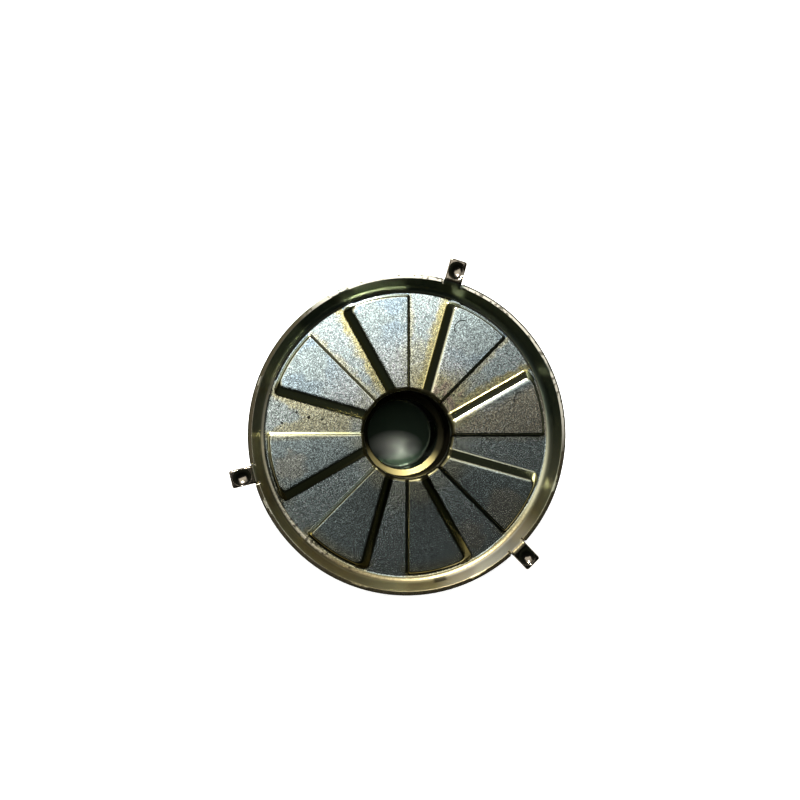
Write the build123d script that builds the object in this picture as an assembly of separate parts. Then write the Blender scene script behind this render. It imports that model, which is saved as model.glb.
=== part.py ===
from build123d import *
from math import asin, atan2, cos, degrees, radians, sin, tan
import os

# Burner flame spreader: one round dish pressed from a single steel sheet, open side up.
# Eight raised panels fan out from a stepped central cup to a flared rim with three tabs.
# The origin is on the axis, at the underside of the cup's flat bottom, with +Z towards the open side.
# All sizes are in millimetres and degrees.

# Sheet
sheet = 1.0

# Dish and rim
rim_radius = 40.0
rim_height = 3.5
rim_wall_angle = 58.0
rim_bend = 2.2
lip_edge_round = 0.15

# Central cup, sizes of its inside
cup_depth = 19.0
ledge_depth = 9.0
cup_radius = 11.0
ledge_width = 2.0
ledge_drop = 0.6
mouth_round = 0.9
ledge_bend = 0.5
ledge_edge_round = 0.5
well_corner = 0.4

# Raised panels
panel_count = 8
panel_rise = 1.6
panel_radius = 35.2
panel_sweep = 29.3
panel_shift = 0.6
steep_run = 0.6
slope_run = 2.1
panel_round = 0.5
steep_corner = 0.8
slope_corner = 1.6
hollow_corner = 0.6

# Tabs
tab_count = 3
tab_direction = 74.0
tab_tip_radius = 45.3
tab_blank_sweep = 12.0
tab_width = 4.5
tab_rise = 0.7
tab_bend = 0.5
tab_corner = 0.6
tab_edge_round = 0.5
dimple_radius = 2.05
dimple_stretch = 0.4
dimple_depth = 0.85
dimple_setback = 2.87
notch_width = 0.4
notch_depth = 0.45

# Heights worked out from the sizes above
floor_top = sheet + cup_depth
ledge_top = floor_top - ledge_depth
panel_top = floor_top + panel_rise
lip_top = floor_top + rim_height
tab_top = lip_top + tab_rise

# Narrow stage of the cup, and the roundings of the cup's outside, one sheet less than those of its inside
well_radius = cup_radius - ledge_width
mouth_under_round = max(mouth_round - sheet, 0)
ledge_under_round = max(ledge_edge_round - sheet, 0)
ledge_skin = sheet / cos(atan2(ledge_drop, ledge_width))

# Slopes of the panel sides, measured from the floor, and the least climb of an edge that counts as rising
steep_angle = degrees(atan2(panel_rise, steep_run))
slope_angle = degrees(atan2(panel_rise, slope_run))
least_climb = 0.1

# Turns of the panels and tabs about the axis
panel_turns = [number * 360 / panel_count for number in range(panel_count)]
tab_turns = [tab_direction + number * 360 / tab_count for number in range(tab_count)]

# Dimple ball that gives the stated width and depth, and its place on the level part of the tab
dimple_sphere = (dimple_radius ** 2 + dimple_depth ** 2) / (2 * dimple_depth)
dimple_centre = tab_tip_radius - dimple_setback

# The rim wall as two parallel slanted lines, one sheet apart
wall_spread = sheet / sin(radians(rim_wall_angle))
wall_run = 1 / tan(radians(rim_wall_angle))


def wall_inside(height):
    """Radius of the rim wall's inner face at a height."""
    return rim_radius - wall_spread + (height - lip_top) * wall_run


def wall_outside(height):
    """Radius of the rim wall's outer face at a height."""
    return rim_radius + (height - lip_top) * wall_run


def step_outside(height):
    """Radius of the panels' outer step at a height."""
    return panel_radius - (height - floor_top) * steep_run / panel_rise


def ledge_inside(radius):
    """Height of the cup's ledge, which falls towards the well, at a radius."""
    return ledge_top - (cup_radius - radius) * ledge_drop / ledge_width


def half_section(corners):
    """Face in the XZ plane from corners, each a radius and a height with its rounding."""
    points = [corner[:2] for corner in corners]
    rounds = [corner[2] for corner in corners]
    return Plane.XZ * make_face(FilletPolyline(*points, radius=rounds, close=True))


def turned(corners, start=0.0, sweep=360.0):
    """Solid turned about the axis from a half section, from one angle through a sweep."""
    return Rot(0, 0, start) * revolve(half_section(corners), axis=Axis.Z, revolution_arc=sweep)


def dish():
    """The drawn dish with its flared rim and stepped cup, one sheet thick all over."""
    inside = [
        (0, sheet, 0),
        (well_radius, sheet, well_corner),
        (well_radius, ledge_inside(well_radius), ledge_edge_round),
        (cup_radius, ledge_top, ledge_bend),
        (cup_radius, floor_top, mouth_round),
        (wall_inside(floor_top), floor_top, rim_bend),
        (wall_inside(lip_top), lip_top, lip_edge_round),
    ]
    outside = [
        (wall_outside(lip_top), lip_top, lip_edge_round),
        (wall_outside(floor_top - sheet), floor_top - sheet, rim_bend + sheet),
        (cup_radius + sheet, floor_top - sheet, mouth_under_round),
        (cup_radius + sheet, ledge_inside(cup_radius + sheet) - ledge_skin, ledge_bend + sheet),
        (well_radius + sheet, ledge_inside(well_radius + sheet) - ledge_skin, ledge_under_round),
        (well_radius + sheet, 0, well_corner + sheet),
        (0, 0, 0),
    ]
    return turned(inside + outside)


def side_cutter(direction, side, lean, inset):
    """Block on the outer side of one leaning panel edge, whose foot runs along a direction on the floor."""
    along = Vector(1, 0, 0).rotate(Axis.Z, direction)
    across = Vector(0, 1, 0).rotate(Axis.Z, direction)
    normal = across * side * sin(radians(lean)) + Vector(0, 0, 1) * cos(radians(lean))
    foot = Vector(0, 0, floor_top) - across * panel_shift
    reach = 2 * rim_radius
    block = Box(reach, reach, rim_radius, align=(Align.CENTER, Align.CENTER, Align.MIN))
    return Plane(origin=foot - normal * inset, x_dir=along, z_dir=normal) * block


def panel_sides(ring, inset):
    """Cuts a raised ring sector down to one panel: a steep side first, a sloped side last."""
    return ring - side_cutter(0, -1, steep_angle, inset) - side_cutter(panel_sweep, 1, slope_angle, inset)


def from_axis(edge):
    """Distance of an edge's middle from the axis."""
    middle = edge.center()
    return (middle.X ** 2 + middle.Y ** 2) ** 0.5


def rising_edges(panel):
    """Edges of a panel that climb from its foot to its top."""
    return [edge for edge in panel.edges() if abs(edge.tangent_at(0.5).Z) > least_climb]


def round_corners(panel, steep_rounding, slope_rounding):
    """Rounds the two outer corners of a panel, the steep side's and the sloped side's."""
    outer_pair = sorted(rising_edges(panel), key=from_axis)[-2:]
    steep_edge = min(outer_pair, key=lambda edge: edge.center().Y)
    panel = fillet(steep_edge, steep_rounding)
    slope_edge = max(rising_edges(panel), key=lambda edge: edge.center().Y + from_axis(edge))
    return fillet(slope_edge, slope_rounding)


def raised_panel():
    """Upper skin of one raised panel, sunk half a sheet into the floor."""
    sunk = floor_top - sheet / 2
    root = floor_top - mouth_round - sheet / 4
    neck = cup_radius + sheet / 2
    ring = turned(
        [
            (cup_radius, root, 0),
            (cup_radius, panel_top, mouth_round),
            (step_outside(panel_top), panel_top, 0),
            (step_outside(sunk), sunk, 0),
            (neck, sunk, 0),
            (neck, root, 0),
        ],
        -panel_sweep,
        3 * panel_sweep,
    )
    panel = round_corners(panel_sides(ring, 0), steep_corner, slope_corner)
    brim = panel.edges().group_by(Axis.Z)[-1].sort_by(from_axis)[1:]
    return fillet(brim, panel_round)


def panel_hollow():
    """Hollow on the underside of one panel, one sheet inside its upper skin."""
    step_spread = sheet / sin(radians(steep_angle))
    below = floor_top - 2 * sheet
    roof = panel_top - sheet
    ring = turned(
        [
            (cup_radius + sheet, below, 0),
            (cup_radius + sheet, roof, mouth_under_round),
            (step_outside(roof) - step_spread, roof, 0),
            (step_outside(below) - step_spread, below, 0),
        ],
        -panel_sweep,
        3 * panel_sweep,
    )
    return round_corners(panel_sides(ring, sheet), hollow_corner, hollow_corner)


def tab_blank():
    """One tab along +X: the rim wall carried on over a bend into a level tongue."""
    root = lip_top - rim_height / 2
    beyond = tab_tip_radius + tab_width
    strip = turned(
        [
            (wall_inside(root), root, 0),
            (wall_inside(tab_top), tab_top, tab_bend + sheet),
            (beyond, tab_top, 0),
            (beyond, tab_top - sheet, 0),
            (wall_outside(tab_top - sheet), tab_top - sheet, tab_bend),
            (wall_outside(root), root, 0),
        ],
        -tab_blank_sweep / 2,
        tab_blank_sweep,
    )
    outline = Pos(tab_tip_radius, 0, 0) * Box(
        rim_radius, tab_width, 2 * tab_top, align=(Align.MAX, Align.CENTER, Align.CENTER)
    )
    return strip & outline


def dimple(radius):
    """Rounded oval lump on a tab, for the hollow above or the swelling below."""
    oval = SlotCenterToCenter(dimple_stretch, 2 * radius)
    lump = revolve(split(oval, bisect_by=Plane.XZ, keep=Keep.TOP), axis=Axis.X)
    return Pos(dimple_centre, 0, tab_top + dimple_sphere - dimple_depth) * lump


def tab():
    """One finished tab with its dimple pressed down through the sheet."""
    blank = tab_blank()
    blank = fillet(blank.edges().filter_by(Axis.Z).sort_by(Axis.X)[-2:], tab_corner)
    brim = blank.edges().group_by(Axis.Z)[-1].sort_by(Axis.X)[-1]
    blank = fillet(brim, tab_edge_round)
    below = Pos(dimple_centre, 0, tab_top - sheet) * Box(
        rim_radius, tab_width, sheet * 4, align=(Align.CENTER, Align.CENTER, Align.MAX)
    )
    swelling = dimple(dimple_sphere + sheet) & below
    return blank + swelling - dimple(dimple_sphere)


def lip_gap():
    """Gap in the lip along +X that one tab and the relief cuts on both sides of it take up."""
    half_width = tab_width / 2 + notch_width
    half_sweep = degrees(asin(half_width / rim_radius))
    base = lip_top - notch_depth
    inner = rim_radius - 3 * sheet
    outer = rim_radius + sheet
    return turned(
        [(inner, base, 0), (outer, base, 0), (outer, tab_top, 0), (inner, tab_top, 0)],
        -half_sweep,
        2 * half_sweep,
    )


def dish_sector():
    """One equal share of the dish, with a raised panel and the hollow under it."""
    share = 360 / panel_count
    wedge = turned(
        [(0, -sheet, 0), (2 * rim_radius, -sheet, 0), (2 * rim_radius, tab_top, 0), (0, tab_top, 0)],
        (panel_sweep - share) / 2,
        share,
    )
    return (dish() & wedge) + raised_panel() - panel_hollow()


def flame_spreader():
    """The whole pressing as one solid."""
    sector = dish_sector()
    gap = lip_gap()
    tongue = tab()
    body = sector.fuse(*[Rot(0, 0, turn) * sector for turn in panel_turns[1:]])
    body = body.cut(*[Rot(0, 0, turn) * gap for turn in tab_turns])
    return body.fuse(*[Rot(0, 0, turn) * tongue for turn in tab_turns])


os.makedirs("parts", exist_ok=True)
spreader = flame_spreader()
export_step(spreader, "parts/flame_spreader.step")
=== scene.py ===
from math import cos, radians, sin, tan

import bpy
from mathutils import Matrix, Vector


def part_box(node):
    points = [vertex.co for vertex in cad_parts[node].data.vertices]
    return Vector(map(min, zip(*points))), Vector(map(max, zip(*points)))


# Burner flame spreader: one zinc-plated pressing, open side up, on a pale floor.
# Places are in metres, as in the frame, and a size given in millimetres is times MM.
# The material works in millimetres from the axis, with the top of the picture towards +Y.

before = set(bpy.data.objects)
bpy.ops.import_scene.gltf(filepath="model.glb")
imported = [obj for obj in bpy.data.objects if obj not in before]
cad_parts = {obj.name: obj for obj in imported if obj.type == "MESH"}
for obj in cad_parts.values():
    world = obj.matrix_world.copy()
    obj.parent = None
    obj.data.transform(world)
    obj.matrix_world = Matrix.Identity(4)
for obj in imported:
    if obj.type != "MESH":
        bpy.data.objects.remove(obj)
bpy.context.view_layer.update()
MM = 0.001

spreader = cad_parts["flame_spreader"]
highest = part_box("flame_spreader")[1]

# Heights of the pressing, in millimetres, and the levels they give below the top of the tabs
TAB_RISE = 0.7
RIM_HEIGHT = 3.5
LEDGE_DEPTH = 9.0
SHEET = 1.0
LIP_LEVEL = highest.z / MM - TAB_RISE
FLOOR_LEVEL = LIP_LEVEL - RIM_HEIGHT
LEDGE_LEVEL = FLOOR_LEVEL - LEDGE_DEPTH

# Rings and the fan of panels, in millimetres and degrees
LIP_RADIUS = 40.0
MOUTH_RADIUS = 11.9
CUP_RADIUS = 11.0
WELL_RADIUS = 9.0
LEDGE_FALL = 0.3
FAN_PITCH = 45.0
SLOPE_FOOT = 29.3
FAN_SHIFT = 0.6
SLOPE_RUN = 2.1

# Bends as the shading rounds them, in millimetres: the slope's top, its foot, and all other edges.
# The solid's own bends there are tighter.
BROW_BEND = 1.1
FOOT_BEND = 0.6
CRISP_BEND = 0.12

# How far up a face points, as a cosine, where the flats begin and where they are whole
FLAT_FROM = 0.985
FLAT_WHOLE = 0.9995

# Grain of the plated flats, in millimetres, as a tilt, and as lighter and darker facets.
# The photo shows it about a pixel wide. Finer grain wouldn't show, so it is drawn this coarse.
GRAIN = 0.2
GRAIN_TILT = 0.05
DARK_FACET = 0.35
LIGHT_FACET = 1.6

# Edges of the stains, in millimetres: the size of their broad and fine drift, and how far each moves them
DRIFT = 8.0
DRIFT_FINE = 2.5
WANDER = 3.5
TREMBLE = 0.7

# Roughness of each finish, and how metallic the cup's bottom is
FLAT_ROUGHNESS = 0.17
BEND_ROUGHNESS = 0.12
RIM_ROUGHNESS = 0.36
MOUTH_ROUGHNESS = 0.32
CUP_ROUGHNESS = 0.42
LOW_WALL_ROUGHNESS = 0.12
WELL_ROUGHNESS = 0.06
WELL_METAL = 0.45
TAB_ROUGHNESS = 0.14
OUTSIDE_ROUGHNESS = 0.3

# Colours of the plate: bare, stained, drawn, on the rim and lip, in the cup, on the tabs and outside. Many on
# the rim, lip, bends and in the cup are painted light and shade.
SILVER = "BCCCCA"
PALE_SILVER = "CCDAD6"
STRIP_SILVER = "D2E2DE"
# Near the cup: painted light on the upper side, painted shade on the lower side
CUP_SIDE_LIT = "E4EEE8"
CUP_SIDE_SHADE = "A6B2AE"
GOLD_STAIN = "ECE0AE"
DEEP_GOLD = "EADC9E"
BLUE_FILM = "B2C8D6"
BROWN_STAIN = "F0E4C6"
BURNT_SPECK_AND_DARK_REFLECTION = "2A261C"
DRAWN_PALE = "96947A"
FOOT_GOLD = "A09664"
# Painted shade on the upper rim, the lower steep edges and the lower bends; painted light and highlights on
# the lower and left rim
DRAWN_SHADE = "525A4E"
STEEP_SHADE = "5A5C4E"
DRAWN_LOWER_SHADE = "5A563C"
RIM_LIT_GOLD = "70664A"
RIM_WALL_LIT_GOLD = "B8AC80"
RIM_PAINTED_HIGHLIGHT = "F0E6D0"
RIM_LEFT_HIGHLIGHT = "F0E8CC"
# Lip: a painted highlight on its upper right, painted shade elsewhere, its chips in the shade's colour, and
# painted shade along its outer edge
LIP_HIGHLIGHT = "E4DECA"
LIP_SHADE_AND_CHIPS = "464030"
LIP_EDGE_SHADE = "3A362A"
ROSE_STAIN = "CFAEAA"
# In the cup: painted shade on the walls, the ledge and the bottom's corner, painted light on the lower wall
# and the lower ledge
WELL_WALL_SHADE = "363E32"
WELL_WALL_LIT = "A4AC9C"
CUP_WALL_SHADE = "3A3626"
LEDGE_SHADE = "1E1C12"
LEDGE_LIGHT = "746A44"
WELL_LIGHT_SPOT = "D8D8D2"
WELL_SHADE = "384438"
CUP_REFLECTION_SHADE = "2A322A"
MOUTH_SHADE = "4E4A34"
CORNER_SHADE = "3A4034"
TAB_COLOUR = "787062"
OUTSIDE_SILVER = "7C827C"
OUTSIDE_GOLD = "8A8262"

# Windows round the axis: name, azimuth in degrees, and the cosines where each closes and is fully open
WINDOWS_FOR_STAIN_AND_LIGHT = (
    ("upper", 78.0, -0.1, 0.4),
    ("cup_gold", 45.0, 0.5, 0.85),
    ("lip_top", 62.0, 0.3, 0.6),
    ("lip_lit", 112.0, 0.8, 0.92),
    ("rim_highlight", 305.0, 0.9, 0.98),
    ("well_low", 272.0, 0.5, 0.85),
    ("ledge_low", 262.0, 0.25, 0.7),
    ("lower", 264.0, 0.22, 0.7),
    ("left_strip", 171.0, 0.975, 0.99),
    ("right_panel", 9.0, 0.95, 0.985),
    ("cup_right", 42.0, 0.88, 0.96),
    ("lower_left", 228.0, 0.9, 0.96),
    ("left_rim", 188.0, 0.6, 0.9),
    ("rim_dark_reflection", 282.5, 0.9986, 0.9996),
)

# Gold stain: what it is measured by, where it ends and where it is full, its window, its strength,
# and whether it lies on the strips only
GOLD_FADES = (
    ("ragged", 25.0, 14.0, "cup_gold", 0.9, False),
    ("ragged", 20.0, 12.0, None, 0.35, False),
    ("slope_side", 3.2, 0.6, "upper", 0.9, True),
    ("steep_side", -1.8, -0.3, "upper", 0.6, True),
    ("radius", 31.0, 36.0, "lower", 0.8, False),
    ("radius", 12.0, 16.0, "left_strip", 0.75, False),
)

# Brown spots, dark specks and ring scratches by their place and radius; the spots also have a strength
BROWN_SPOTS = ((24.5, -18.4, 6.0, 0.5), (-29.0, -7.5, 4.5, 0.4), (15.5, -26.0, 5.0, 0.5))
DARK_SPECKS = (
    (-27.8, 5.6, 0.5), (-24.8, 4.3, 0.45), (-21.5, 3.8, 0.4),
    (-32.6, 8.5, 0.35), (-32.1, 7.1, 0.35), (-31.4, 2.9, 0.35),
)
RING_SCRATCHES = ((13.8, 26.5, 2.1), (28.9, 8.8, 1.9))
SCRATCH_HALF_WIDTH = 0.14

# Stains, and the painted light and shade near the cup and on the rim, by millimetres from the axis: where each
# begins and where it is full
ROSE_RING = (18.0, 13.0)
CUP_SIDE = (30.0, 16.0)
RIM_START = (35.6, 36.2)

# Stains by millimetres from the panels' feet: where each begins and is full, and its least and full strength.
# The strip's bare middle widens with the distance from the axis.
BROWN_PANEL = (-2.5, -5.5)
BROWN_STRENGTH = 0.85
SLOPE_FOOT_STAIN = (2.4, 0.5, 0.0, 0.8)
STRIP_MIDDLE = (12.0, 13.4, 0.0, 0.85)
STRIP_MIDDLE_SPREAD = 0.35

# Stains by noise: where each begins and is full, and its least and full strength
ROSE_PATCHES = (0.45, 0.6, 0.0, 0.5)
BLUE_PATCHES = (0.5, 0.62, 0.0, 0.7)
CHIPS = (0.56, 0.64, 0.0, 0.8)

# Chips, in millimetres: their size, and the radius and half the width of the chipped step
CHIP = 1.2
CHIPPED_STEP = (36.0, 0.6)

# Painted dark reflection on the lower rim: its radius, half its width, and its strength
RIM_DARK_REFLECTION = (37.2, 0.45, 0.7)

# Painted light on the cup's bottom, over the real light that the cup's wall throws there: a pale spot at its
# cusp, fading into painted shade. Pale spot painted on the cup's bottom, where the photo's light pattern has
# its cusp: its middle, how much slower it fades sideways, and where its shade is full
CUSP_PLACE = (-0.7, -3.2)
CUSP_WIDTH = 0.55
CUSP_REACH = 4.2

# The photo: its frame, where the part's axis meets the lip's level, and the view of it
IMAGE_SIDE_PX = 800
AXIS_PX = (409.6, 434.6)
CAMERA_DISTANCE = 300 * MM
CAMERA_TILT_LEFT = 8.3
CAMERA_TILT_UP = 1.0
CAMERA_VIEW_ANGLE = 36.6

# The softbox, in degrees: its azimuth, how far its edges lean from overhead, and half its width
SOFTBOX_AZIMUTH = 112.0
SOFTBOX_NEAR = 1.2
SOFTBOX_FAR = 56.0
SOFTBOX_HALF_WIDTH = 28.0
SOFTBOX_EDGE = 1.5
SOFTBOX_POWER = 2.4
# Its far end is dimmer: where the dimming begins and ends, in degrees, and what is left
SOFTBOX_DIM = (20.0, 45.0, 0.5)

# The key lamp: where it stands, in degrees and metres, its size and power
KEY_AZIMUTH = 100.0
KEY_LEAN = 42.0
KEY_DISTANCE = 0.9
KEY_SIZE = 0.15
KEY_WATTS = 18.0

# The dark room, overhead and at its walls, and the paper floor with its glow
ROOM_OVERHEAD = "171B17"
ROOM_WALLS = "3A4038"
PAPER_WHITE = "F4F4F2"
PAPER_ROUGHNESS = 0.9
PAPER_GLOW = 0.85
WHITE = "FFFFFF"

# Kinds of nodes that are used most, with the settings for a soft step and for mixing colours
MATH = "ShaderNodeMath"
VECTOR = "ShaderNodeVectorMath"
RANGE = "ShaderNodeMapRange"
MIX = "ShaderNodeMix"
NOISE = "ShaderNodeTexNoise"
SOFT = {"interpolation_type": "SMOOTHSTEP"}
COLOURS = {"data_type": "RGBA"}


def linear(hex_colour):
    """Linear colour with alpha from an sRGB hex value such as "C0C4C2"."""
    values = [int(hex_colour[place:place + 2], 16) / 255 for place in (0, 2, 4)]
    return [v / 12.92 if v <= 0.04045 else ((v + 0.055) / 1.055) ** 2.4 for v in values] + [1.0]


def add(tree, kind, inputs=(), **settings):
    """Adds a node with its settings; its inputs, by place or name, are values, nodes or their outputs."""
    made = tree.nodes.new(kind)
    for name, value in settings.items():
        setattr(made, name, value)
    for place, value in inputs.items() if isinstance(inputs, dict) else enumerate(inputs):
        if isinstance(value, bpy.types.Node):
            value = value.outputs[0]
        if isinstance(value, bpy.types.NodeSocket):
            tree.links.new(value, made.inputs[place])
        else:
            made.inputs[place].default_value = value
    return made


def zinc_plate():
    """Zinc-plated steel with a yellow passivation: satin and grainy where the sheet stayed flat,
    smoother and darker where it was drawn, stained gold round the cup and along the panels' feet.
    The colours also hold painted light and shade: on the rim, lip, bends and cup, lit on one side and dark on
    the other."""
    material = bpy.data.materials.new("zinc_plated_steel_yellow_passivated")
    material.use_nodes = True
    tree = material.node_tree
    shader = tree.nodes["Principled BSDF"]

    # Place on the part in millimetres, as distance from the axis and angle round it
    coordinates = add(tree, "ShaderNodeTexCoord")
    place = add(tree, VECTOR, {0: coordinates.outputs["Object"], "Scale": 1 / MM}, operation="SCALE")
    split = add(tree, "ShaderNodeSeparateXYZ", [place])
    x, y, z = split.outputs
    ground = add(tree, "ShaderNodeCombineXYZ", [x, y])
    radius = add(tree, VECTOR, [ground], operation="LENGTH").outputs["Value"]
    outward = add(tree, VECTOR, [ground], operation="NORMALIZE")
    angle = add(tree, MATH, [y, x], operation="ARCTAN2")

    # Distance past the nearest slope's foot, and past the steep foot that follows it
    fan_start = radians(SLOPE_FOOT - FAN_PITCH / 2)
    fan_angle = add(tree, MATH, [angle, fan_start + radians(FAN_PITCH), fan_start], operation="WRAP")
    past = []
    for foot in (SLOPE_FOOT, FAN_PITCH):
        turned = add(tree, MATH, [fan_angle, radians(foot)], operation="SUBTRACT")
        across = add(tree, MATH, [turned], operation="SINE")
        past.append(add(tree, MATH, [across, radius, FAN_SHIFT], operation="MULTIPLY_ADD"))
    past_slope, past_steep = past

    # Wandering edges for the stains, a few millimetres wide
    drift = add(tree, NOISE, {"Vector": place, "Scale": 1 / DRIFT, "Detail": 2.0})
    drift_fine = add(tree, NOISE, {"Vector": place, "Scale": 1 / DRIFT_FINE, "Detail": 2.0})
    wander = add(tree, RANGE, [drift, 0.3, 0.7, -WANDER, WANDER])
    tremble = add(tree, RANGE, [drift_fine, 0.3, 0.7, -TREMBLE, TREMBLE])
    ragged = add(tree, MATH, [radius, wander], operation="ADD")

    # The slope's top and foot are drawn over soft bends, the other edges are crisp
    from_brow = add(tree, MATH, [past_slope, SLOPE_RUN], operation="ADD")
    from_brow = add(tree, MATH, [from_brow], operation="ABSOLUTE")
    from_foot = add(tree, MATH, [past_slope], operation="ABSOLUTE")
    at_brow = add(tree, RANGE, [from_brow, 0.9, 1.7, BROW_BEND * MM, CRISP_BEND * MM], **SOFT)
    at_foot = add(tree, RANGE, [from_foot, 0.6, 1.1, FOOT_BEND * MM, CRISP_BEND * MM], **SOFT)
    rounding = add(tree, MATH, [at_brow, at_foot], operation="MAXIMUM")
    bend = add(tree, "ShaderNodeBevel", {"Radius": rounding}, samples=8)
    upward = add(tree, "ShaderNodeSeparateXYZ", [bend]).outputs["Z"]
    flat = add(tree, RANGE, [upward, FLAT_FROM, FLAT_WHOLE], **SOFT)

    # Where on the part: in the cup and its stages, on its bottom, in its corner, on its ledge, on the tabs
    below_floor = add(tree, RANGE, [z, FLOOR_LEVEL - 0.6, FLOOR_LEVEL - 1.6], **SOFT)
    in_mouth = add(tree, MATH, [radius, MOUTH_RADIUS], operation="LESS_THAN")
    in_well = add(tree, MATH, [radius, WELL_RADIUS + 0.5], operation="LESS_THAN")
    above_base = add(tree, MATH, [z, SHEET / 2], operation="GREATER_THAN")
    in_well = add(tree, MATH, [in_well, above_base], operation="MULTIPLY")
    over_ledge = add(tree, MATH, [radius, -LEDGE_FALL, z], operation="MULTIPLY_ADD")
    below_ledge = LEDGE_LEVEL - LEDGE_FALL * CUP_RADIUS - SHEET / 2
    over_ledge = add(tree, MATH, [over_ledge, below_ledge], operation="GREATER_THAN")
    inside = add(tree, MATH, [in_well, over_ledge], operation="MAXIMUM")
    in_cup = add(tree, MATH, [below_floor, in_mouth], operation="MULTIPLY")
    in_cup = add(tree, MATH, [in_cup, inside], operation="MULTIPLY")
    well_floor = add(tree, RANGE, [z, SHEET + 0.6, SHEET + 0.1], **SOFT)
    well_floor = add(tree, MATH, [well_floor, in_well], operation="MULTIPLY")
    corner = add(tree, RANGE, [radius, WELL_RADIUS - 0.6, WELL_RADIUS - 0.4], **SOFT)
    corner = add(tree, MATH, [corner, well_floor], operation="MULTIPLY")
    wide_stage = add(tree, RANGE, [radius, CUP_RADIUS - 0.6, CUP_RADIUS - 0.2], **SOFT)
    wide_stage = add(tree, MATH, [wide_stage, in_cup], operation="MULTIPLY")
    ledge = add(tree, RANGE, [upward, 0.7, 0.9], **SOFT)
    ledge = add(tree, MATH, [ledge, in_cup], operation="MULTIPLY")
    on_fan = add(tree, RANGE, [radius, LIP_RADIUS - 1.6, LIP_RADIUS - 2.0])
    on_tab = add(tree, MATH, [radius, LIP_RADIUS + 0.1], operation="GREATER_THAN")
    open_flat = add(tree, MATH, [flat, in_cup], operation="SUBTRACT", use_clamp=True)
    grainy = add(tree, MATH, [open_flat, on_fan], operation="MULTIPLY")

    # The underside and the outer walls, which keep the plain plate
    facing_out = add(tree, VECTOR, [bend, outward], operation="DOT_PRODUCT").outputs["Value"]
    outer_wall = add(tree, RANGE, [facing_out, 0.2, 0.5], **SOFT)
    upright = add(tree, RANGE, [upward, 0.15, 0.05], **SOFT)
    outer_wall = add(tree, MATH, [outer_wall, upright], operation="MULTIPLY")
    underside = add(tree, RANGE, [upward, -0.1, -0.3], **SOFT)
    outside = add(tree, MATH, [outer_wall, underside], operation="MAXIMUM")

    # Windows round the axis, for stains, finishes, and painted light and shade that lie on one side
    windows = {}
    for name, azimuth, closed, full in WINDOWS_FOR_STAIN_AND_LIGHT:
        facing = (cos(radians(azimuth)), sin(radians(azimuth)), 0)
        toward = add(tree, VECTOR, [outward, facing], operation="DOT_PRODUCT").outputs["Value"]
        windows[name] = add(tree, RANGE, [toward, closed, full], **SOFT)

    # Gold stain: round the cup, along both feet of the upper strips, over the left strip, and on the lower rim
    slope_side = add(tree, MATH, [past_slope, tremble], operation="ADD")
    steep_side = add(tree, MATH, [past_steep, tremble], operation="SUBTRACT")
    measures = {"ragged": ragged, "slope_side": slope_side, "steep_side": steep_side, "radius": radius}
    past_foot = add(tree, MATH, [past_slope, -0.3], operation="GREATER_THAN")
    before_steep = add(tree, MATH, [past_steep, 0.1], operation="LESS_THAN")
    on_strip = add(tree, MATH, [past_foot, before_steep], operation="MULTIPLY")
    gold = 0.0
    for measure, none, full, window, strength, strips_only in GOLD_FADES:
        fade = add(tree, RANGE, [measures[measure], none, full, 0.0, strength], **SOFT)
        if window:
            fade = add(tree, MATH, [fade, windows[window]], operation="MULTIPLY")
        if strips_only:
            fade = add(tree, MATH, [fade, on_strip], operation="MULTIPLY")
        gold = add(tree, MATH, [fade, gold], operation="MAXIMUM")

    # Brown stains: over one panel, and in round spots
    brown = add(tree, RANGE, [past_slope, *BROWN_PANEL], **SOFT)
    past_edge = add(tree, MATH, [past_steep, 0.2], operation="GREATER_THAN")
    brown = add(tree, MATH, [brown, past_edge], operation="MAXIMUM")
    brown = add(tree, MATH, [brown, windows["right_panel"]], operation="MULTIPLY")
    brown = add(tree, MATH, [brown, BROWN_STRENGTH], operation="MULTIPLY")
    for spot_x, spot_y, spot_radius, strength in BROWN_SPOTS:
        off = add(tree, VECTOR, [ground, (spot_x, spot_y, 0)], operation="DISTANCE").outputs["Value"]
        off = add(tree, MATH, [tremble, 1.5, off], operation="MULTIPLY_ADD")
        spot = add(tree, RANGE, [off, spot_radius, spot_radius * 0.6, 0.0, strength], **SOFT)
        brown = add(tree, MATH, [spot, brown], operation="MAXIMUM")

    # Rose tint of the passivation on the right side of the cup's mouth
    rose = add(tree, RANGE, [ragged, *ROSE_RING], **SOFT)
    rose = add(tree, MATH, [rose, windows["cup_right"]], operation="MULTIPLY")
    rose_patch = add(tree, RANGE, [drift_fine, *ROSE_PATCHES], **SOFT)
    rose = add(tree, MATH, [rose, rose_patch], operation="MULTIPLY")

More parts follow.
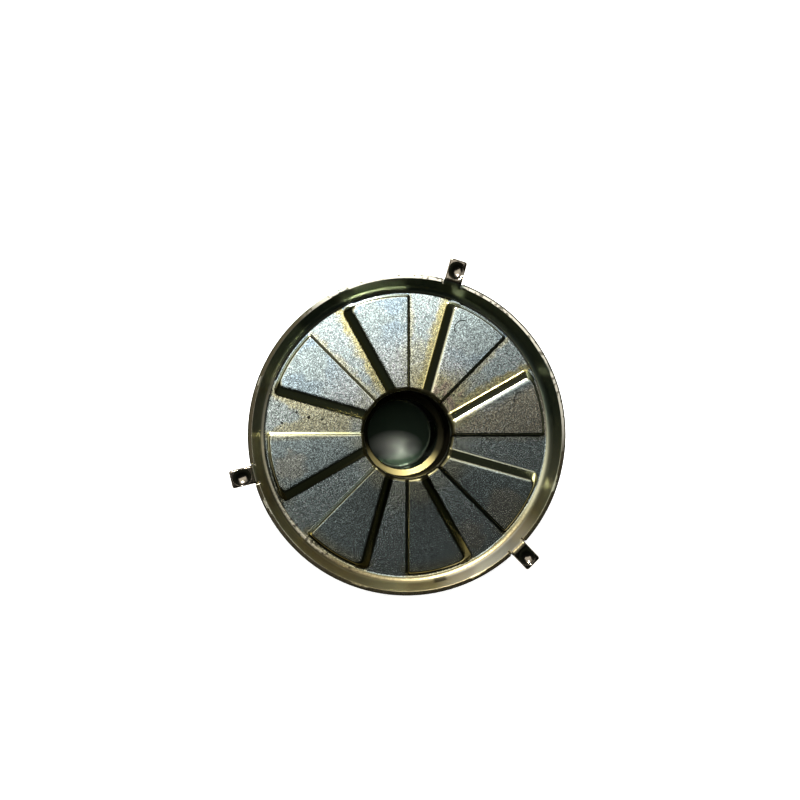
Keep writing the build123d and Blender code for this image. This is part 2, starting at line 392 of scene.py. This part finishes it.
    # Dark marks: specks burnt into one strip, two scratches, each part of a thin ring,
    # and chips on the rim; with them, a painted dark reflection on the rim
    marks_and_dark_reflection = 0.0
    for mark_x, mark_y, mark_radius in DARK_SPECKS:
        off = add(tree, VECTOR, [ground, (mark_x, mark_y, 0)], operation="DISTANCE").outputs["Value"]
        off = add(tree, MATH, [tremble, 0.15, off], operation="MULTIPLY_ADD")
        mark = add(tree, RANGE, [off, mark_radius, mark_radius * 0.4], **SOFT)
        marks_and_dark_reflection = add(tree, MATH, [mark, marks_and_dark_reflection], operation="MAXIMUM")
    for ring_x, ring_y, ring_radius in RING_SCRATCHES:
        from_ring = add(tree, VECTOR, [ground, (ring_x, ring_y, 0)], operation="SUBTRACT")
        off = add(tree, VECTOR, [from_ring], operation="LENGTH").outputs["Value"]
        off = add(tree, MATH, [off, ring_radius, SCRATCH_HALF_WIDTH], operation="COMPARE")
        half = add(tree, VECTOR, [from_ring, (-0.7, 0.7, 0)], operation="DOT_PRODUCT").outputs["Value"]
        half = add(tree, RANGE, [half, 0.1, 1.2, 0.0, 0.9], **SOFT)
        mark = add(tree, MATH, [off, half], operation="MULTIPLY")
        marks_and_dark_reflection = add(tree, MATH, [mark, marks_and_dark_reflection], operation="MAXIMUM")

    # Painted dark reflection on the lower rim, drawn in the marks' colour
    patch_radius, patch_half_width, patch_strength = RIM_DARK_REFLECTION
    patch = add(tree, MATH, [radius, patch_radius, patch_half_width], operation="COMPARE")
    patch = add(tree, MATH, [patch, windows["rim_dark_reflection"]], operation="MULTIPLY")
    patch = add(tree, MATH, [patch, patch_strength], operation="MULTIPLY")
    marks_and_dark_reflection = add(tree, MATH, [patch, marks_and_dark_reflection], operation="MAXIMUM")
    chips = add(tree, NOISE, {"Vector": place, "Scale": 1 / CHIP, "Detail": 1.0})
    chips = add(tree, RANGE, [chips, *CHIPS], **SOFT)
    on_step = add(tree, MATH, [radius, *CHIPPED_STEP], operation="COMPARE")
    step_chips = add(tree, MATH, [chips, on_step], operation="MULTIPLY")
    step_chips = add(tree, MATH, [step_chips, windows["lower_left"]], operation="MULTIPLY")

    # Colours of the flats, laid one over the other
    # Near the cup the flats are painted lighter on the upper side and painted shade on the lower side
    cup_side = add(tree, RANGE, [radius, *CUP_SIDE], **SOFT)
    cup_side_up = add(tree, MATH, [cup_side, windows["upper"]], operation="MULTIPLY")
    cup_side_low = add(tree, MATH, [cup_side, windows["lower"]], operation="MULTIPLY")
    blue = add(tree, RANGE, [drift, *BLUE_PATCHES], **SOFT)
    blue = add(tree, MATH, [blue, windows["upper"]], operation="MULTIPLY")
    foot_gold = add(tree, RANGE, [slope_side, *SLOPE_FOOT_STAIN], **SOFT)
    foot_gold = add(tree, MATH, [foot_gold, on_strip], operation="MULTIPLY")
    foot_gold = add(tree, MATH, [foot_gold, windows["upper"]], operation="MULTIPLY")
    to_steep = add(tree, MATH, [past_steep, -1.0], operation="MULTIPLY")
    strip_middle = add(tree, MATH, [past_slope, to_steep], operation="MINIMUM")
    strip_middle = add(tree, MATH, [radius, STRIP_MIDDLE_SPREAD, strip_middle], operation="MULTIPLY_ADD")
    strip_middle = add(tree, MATH, [strip_middle, tremble], operation="ADD")
    strip_middle = add(tree, RANGE, [strip_middle, *STRIP_MIDDLE], **SOFT)
    strip_middle = add(tree, MATH, [strip_middle, on_strip], operation="MULTIPLY")
    layers = [
        (drift_fine, PALE_SILVER),
        (blue, BLUE_FILM),
        (cup_side_up, CUP_SIDE_LIT),
        (cup_side_low, CUP_SIDE_SHADE),
        (on_strip, STRIP_SILVER),
        (gold, GOLD_STAIN),
        (strip_middle, STRIP_SILVER),
        (foot_gold, DEEP_GOLD),
        (brown, BROWN_STAIN),
        (rose, ROSE_STAIN),
    ]
    colour = linear(SILVER)
    for share, over in layers:
        colour = add(tree, MIX, {0: share, 6: colour, 7: linear(over)}, **COLOURS).outputs[2]

    # Colours of the bends and the rim, which lie where the sheet isn't flat. Most change with the side of the
    # axis as the light falls there, as painted light and shade.
    on_rim = add(tree, RANGE, [radius, *RIM_START], **SOFT)
    upper_rim = add(tree, MATH, [on_rim, windows["upper"]], operation="MULTIPLY")
    on_steep = add(tree, MATH, [past_steep, -0.3, 0.9], operation="COMPARE")
    low_steep = add(tree, MATH, [on_steep, windows["lower"]], operation="MULTIPLY")
    drawn = linear(DRAWN_PALE)
    low_rim = add(tree, MATH, [on_rim, windows["lower"]], operation="MULTIPLY")
    rim_wall = add(tree, RANGE, [upward, 0.8, 0.65], **SOFT)
    rim_wall = add(tree, MATH, [rim_wall, low_rim], operation="MULTIPLY")
    rim_highlight = add(tree, MATH, [rim_wall, windows["rim_highlight"]], operation="MULTIPLY")
    left_bend = add(tree, RANGE, [upward, 0.8, 0.92], **SOFT)
    left_bend = add(tree, MATH, [left_bend, on_rim], operation="MULTIPLY")
    left_bend = add(tree, MATH, [left_bend, windows["left_rim"]], operation="MULTIPLY")
    foot_bend = add(tree, RANGE, [from_foot, 0.9, 0.5], **SOFT)
    foot_bend = add(tree, MATH, [foot_bend, windows["upper"]], operation="MULTIPLY")
    # Painted shade: darker lower bends and steep edges, dark upper rim. Painted light: lit gold lower rim with
    # a highlight, and a highlight on the left rim's bend
    bends = [
        (windows["lower"], DRAWN_LOWER_SHADE),
        (foot_bend, FOOT_GOLD),
        (low_steep, STEEP_SHADE),
        (low_rim, RIM_LIT_GOLD),
        (rim_wall, RIM_WALL_LIT_GOLD),
        (rim_highlight, RIM_PAINTED_HIGHLIGHT),
        (left_bend, RIM_LEFT_HIGHLIGHT),
        (upper_rim, DRAWN_SHADE),
    ]
    for share, over in bends:
        drawn = add(tree, MIX, {0: share, 6: drawn, 7: linear(over)}, **COLOURS).outputs[2]
    colour = add(tree, MIX, {0: flat, 6: drawn, 7: colour}, **COLOURS).outputs[2]

    # Colours by place: marks with a painted dark reflection, the lip, mouth and cup in painted light and
    # shade, and the tabs
    # Painted shade on the cup's walls, ledge and bottom corner; painted light on its lower wall and lower
    # ledge
    low_wall = add(tree, MATH, [in_cup, windows["well_low"]], operation="MULTIPLY")
    # Painted shade on the rounding of the cup's mouth, which tones down the highlight the lights draw there
    mouth = add(tree, RANGE, [upward, 0.9995, 0.995], **SOFT)
    near_mouth = add(tree, MATH, [radius, MOUTH_RADIUS + 0.2], operation="LESS_THAN")
    mouth = add(tree, MATH, [mouth, near_mouth], operation="MULTIPLY")
    upper_side = add(tree, MATH, [z, FLOOR_LEVEL - 0.95], operation="GREATER_THAN")
    upper_side = add(tree, MATH, [upper_side, in_cup], operation="MAXIMUM")
    mouth = add(tree, MATH, [mouth, upper_side], operation="MULTIPLY")
    # Painted light on the cup's bottom: pale at the cusp of the light its wall throws, fading into painted
    # shade
    from_cusp = add(tree, VECTOR, [ground, (-CUSP_PLACE[0], -CUSP_PLACE[1], 0)], operation="ADD")
    from_cusp = add(tree, VECTOR, [from_cusp, (CUSP_WIDTH, 1.0, 0)], operation="MULTIPLY")
    from_cusp = add(tree, VECTOR, [from_cusp], operation="LENGTH").outputs["Value"]
    off_cusp = add(tree, RANGE, [from_cusp, 0.0, CUSP_REACH])
    well_shade = add(tree, MATH, [well_floor, off_cusp], operation="MULTIPLY")
    # The lip: painted shade all round, a painted highlight on its upper right, chips, and painted shade along
    # its outer edge except on the upper left, where the light falls
    lip = add(tree, MATH, [flat, on_fan], operation="SUBTRACT", use_clamp=True)
    lip_highlight = add(tree, MATH, [lip, windows["lip_top"]], operation="MULTIPLY")
    lit_ledge = add(tree, MATH, [ledge, windows["ledge_low"]], operation="MULTIPLY")
    lip_edge_shade = add(tree, RANGE, [radius, LIP_RADIUS - 0.6, LIP_RADIUS - 0.42], **SOFT)
    lip_edge_shade = add(tree, MATH, [lip_edge_shade, windows["lip_lit"]], operation="SUBTRACT", use_clamp=True)
    lip_chips = add(tree, MATH, [lip, chips], operation="MULTIPLY")
    places = [
        (marks_and_dark_reflection, BURNT_SPECK_AND_DARK_REFLECTION),
        (step_chips, BURNT_SPECK_AND_DARK_REFLECTION),
        (lip, LIP_SHADE_AND_CHIPS),
        (lip_highlight, LIP_HIGHLIGHT),
        (lip_chips, LIP_SHADE_AND_CHIPS),
        (lip_edge_shade, LIP_EDGE_SHADE),
        (mouth, MOUTH_SHADE),
        (in_cup, WELL_WALL_SHADE),
        (low_wall, WELL_WALL_LIT),
        (wide_stage, CUP_WALL_SHADE),
        (ledge, LEDGE_SHADE),
        (lit_ledge, LEDGE_LIGHT),
        (well_floor, WELL_LIGHT_SPOT),
        (well_shade, WELL_SHADE),
        (corner, CORNER_SHADE),
        (on_tab, TAB_COLOUR),
    ]
    for share, over in places:
        colour = add(tree, MIX, {0: share, 6: colour, 7: linear(over)}, **COLOURS).outputs[2]

    # The outside, plain silver and gold
    plain = add(tree, MIX, {0: drift, 6: linear(OUTSIDE_SILVER), 7: linear(OUTSIDE_GOLD)}, **COLOURS)
    colour = add(tree, MIX, {0: outside, 6: colour, 7: plain.outputs[2]}, **COLOURS).outputs[2]

    # Grain of the plated flats: facets that tilt each its own way and are a little lighter or darker
    facets = add(tree, "ShaderNodeTexVoronoi", {"Vector": place, "Scale": 1 / GRAIN})
    facet = add(tree, "ShaderNodeSeparateXYZ", [facets.outputs["Color"]])
    speckle = add(tree, RANGE, [facet.outputs["X"], 0.0, 1.0, DARK_FACET, LIGHT_FACET])
    rim_grain = add(tree, RANGE, [upward, 0.7, 0.9, 0.0, 0.7], **SOFT)
    rim_grain = add(tree, MATH, [rim_grain, low_rim], operation="MULTIPLY")
    speckled = add(tree, MATH, [grainy, rim_grain], operation="MAXIMUM")
    plain_grain = add(tree, MATH, [outside, 0.5], operation="MULTIPLY")
    speckled = add(tree, MATH, [speckled, plain_grain], operation="MAXIMUM")
    speckle = add(tree, MIX, {0: speckled, 2: 1.0, 3: speckle})
    colour = add(tree, VECTOR, {0: colour, "Scale": speckle}, operation="SCALE")
    tree.links.new(colour.outputs[0], shader.inputs["Base Color"])

    lean = add(tree, VECTOR, [facets.outputs["Color"], (0.5, 0.5, 0.5)], operation="SUBTRACT")
    tilt = add(tree, MATH, [grainy, GRAIN_TILT], operation="MULTIPLY")
    tilted = add(tree, VECTOR, {0: lean, "Scale": tilt}, operation="SCALE")
    normal = add(tree, VECTOR, [bend, tilted], operation="ADD")
    normal = add(tree, VECTOR, [normal], operation="NORMALIZE")
    tree.links.new(normal.outputs[0], shader.inputs["Normal"])

    # Finish: satin flats, smoother bends, and in the cup a dull wall whose reflections are tinted dark at its
    # edges as painted shade, over a smooth bottom
    rough = add(tree, MIX, {0: on_rim, 2: BEND_ROUGHNESS, 3: RIM_ROUGHNESS})
    rough = add(tree, MIX, {0: grainy, 2: rough, 3: FLAT_ROUGHNESS})
    finishes = [
        (mouth, MOUTH_ROUGHNESS),
        (in_cup, CUP_ROUGHNESS),
        (low_wall, LOW_WALL_ROUGHNESS),
        (wide_stage, CUP_ROUGHNESS),
        (ledge, CUP_ROUGHNESS),
        (well_floor, WELL_ROUGHNESS),
        (on_tab, TAB_ROUGHNESS),
        (outside, OUTSIDE_ROUGHNESS),
    ]
    for share, finish in finishes:
        rough = add(tree, MIX, {0: share, 2: rough, 3: finish})
    tree.links.new(rough.outputs[0], shader.inputs["Roughness"])
    # Painted shade: the cup's reflections are tinted dark
    reflection_shade = add(tree, MIX, {0: in_cup, 6: linear(WHITE), 7: linear(CUP_REFLECTION_SHADE)}, **COLOURS)
    tree.links.new(reflection_shade.outputs[2], shader.inputs["Specular Tint"])
    metal = add(tree, RANGE, [well_floor, 0.0, 1.0, 1.0, WELL_METAL])
    tree.links.new(metal.outputs[0], shader.inputs["Metallic"])
    return material


spreader.data.materials[0] = zinc_plate()


def pale_floor():
    """Matt white sheet under the part, bright enough to stay white in the part's soft shadow."""
    bpy.ops.object.select_all(action="DESELECT")
    bpy.ops.mesh.primitive_plane_add(size=8.0)
    floor = bpy.context.object
    floor.name = "pale_floor"
    material = bpy.data.materials.new("matt_white_paper")
    material.use_nodes = True
    shader = material.node_tree.nodes["Principled BSDF"]
    shader.inputs["Base Color"].default_value = linear(PAPER_WHITE)
    shader.inputs["Roughness"].default_value = PAPER_ROUGHNESS
    shader.inputs["Emission Color"].default_value = linear(WHITE)
    shader.inputs["Emission Strength"].default_value = PAPER_GLOW
    floor.data.materials.append(material)


pale_floor()


def studio_light():
    """Dark studio with one broad softbox high above the top of the picture, drawn on the sky by its edges.
    Behind the floor's edge the camera sees a pale backdrop."""
    world = bpy.data.worlds.new("dark_studio")
    bpy.context.scene.world = world
    world.use_nodes = True
    tree = world.node_tree
    room = tree.nodes["Background"]
    sky = add(tree, "ShaderNodeTexCoord").outputs["Generated"]
    ahead = Vector((cos(radians(SOFTBOX_AZIMUTH)), sin(radians(SOFTBOX_AZIMUTH)), 0))
    forward = add(tree, VECTOR, [sky, ahead], operation="DOT_PRODUCT").outputs["Value"]
    aside = add(tree, VECTOR, [sky, (-ahead.y, ahead.x, 0)], operation="DOT_PRODUCT").outputs["Value"]
    high = add(tree, "ShaderNodeSeparateXYZ", [sky]).outputs["Z"]
    lean = add(tree, MATH, [forward, high], operation="ARCTAN2")
    beside = add(tree, MATH, [add(tree, MATH, [aside], operation="ABSOLUTE")], operation="ARCSINE")
    edges = [
        (lean, SOFTBOX_NEAR - SOFTBOX_EDGE, SOFTBOX_NEAR + SOFTBOX_EDGE),
        (lean, SOFTBOX_FAR + 2 * SOFTBOX_EDGE, SOFTBOX_FAR - 2 * SOFTBOX_EDGE),
        (beside, SOFTBOX_HALF_WIDTH + 4 * SOFTBOX_EDGE, SOFTBOX_HALF_WIDTH - 4 * SOFTBOX_EDGE),
    ]
    shine = 1.0
    for turn, dark, bright in edges:
        edge = add(tree, RANGE, [turn, radians(dark), radians(bright)], **SOFT)
        shine = add(tree, MATH, [edge, shine], operation="MULTIPLY")
    dim_from, dim_to, dim_share = SOFTBOX_DIM
    far_fade = add(tree, RANGE, [lean, radians(dim_from), radians(dim_to), 1.0, dim_share], **SOFT)
    shine = add(tree, MATH, [far_fade, shine], operation="MULTIPLY")
    walls = add(tree, RANGE, [high, 0.8, 0.2], **SOFT)
    dark = add(tree, MIX, {0: walls, 6: linear(ROOM_OVERHEAD), 7: linear(ROOM_WALLS)}, **COLOURS)
    glow = add(tree, MIX, {0: shine, 6: dark.outputs[2], 7: linear(WHITE)}, **COLOURS)
    power = add(tree, RANGE, [shine, 0.0, 1.0, 1.0, SOFTBOX_POWER])
    tree.links.new(glow.outputs[2], room.inputs["Color"])
    tree.links.new(power.outputs[0], room.inputs["Strength"])
    backdrop = add(tree, "ShaderNodeBackground", {"Color": linear(WHITE)})
    seen = add(tree, "ShaderNodeLightPath")
    both = add(tree, "ShaderNodeMixShader", {0: seen.outputs["Is Camera Ray"], 1: room, 2: backdrop})
    tree.links.new(both.outputs[0], tree.nodes["World Output"].inputs["Surface"])


studio_light()


def key_lamp():
    """Small bright softbox, lower than the broad one, that lights the cup's wall
    and draws lines on the bends."""
    light = bpy.data.lights.new("key_lamp", "AREA")
    light.shape = "DISK"
    light.size = KEY_SIZE
    light.energy = KEY_WATTS
    lamp = bpy.data.objects.new("key_lamp", light)
    bpy.context.scene.collection.objects.link(lamp)
    level = Vector((cos(radians(KEY_AZIMUTH)), sin(radians(KEY_AZIMUTH)), 0))
    lamp.location = (level * sin(radians(KEY_LEAN)) + Vector((0, 0, cos(radians(KEY_LEAN))))) * KEY_DISTANCE
    lamp.rotation_mode = "QUATERNION"
    lamp.rotation_quaternion = (-lamp.location).to_track_quat("-Z", "Y")


key_lamp()


def photo_camera():
    """Camera above the dish, leaning to the left, with the top of the picture towards +Y."""
    data = bpy.data.cameras.new("photo_camera")
    data.angle = radians(CAMERA_VIEW_ANGLE)
    data.clip_start = 10 * MM
    camera = bpy.data.objects.new("photo_camera", data)
    bpy.context.scene.collection.objects.link(camera)
    away = Vector((-tan(radians(CAMERA_TILT_LEFT)), tan(radians(CAMERA_TILT_UP)), 1)).normalized()
    right = Vector((0, 1, 0)).cross(away).normalized()
    up = away.cross(right)
    # The axis falls on its pixel when the view's middle is turned off it by the same share.
    pixel = 2 * tan(radians(CAMERA_VIEW_ANGLE) / 2) / IMAGE_SIDE_PX
    off_right = (AXIS_PX[0] - IMAGE_SIDE_PX / 2) * pixel
    off_up = (IMAGE_SIDE_PX / 2 - AXIS_PX[1]) * pixel
    back = (away + right * off_right + up * off_up).normalized()
    right = Vector((0, 1, 0)).cross(back).normalized()
    up = back.cross(right)
    turn = Matrix((right, up, back)).transposed()
    centre = Vector((0, 0, LIP_LEVEL * MM))
    camera.matrix_world = Matrix.Translation(centre + away * CAMERA_DISTANCE) @ turn.to_4x4()
    bpy.context.scene.camera = camera


photo_camera()
bpy.context.scene.view_settings.view_transform = "Standard"
# Light that the cup's wall throws on its bottom stays sharp.
bpy.context.scene.cycles.blur_glossy = 0.0
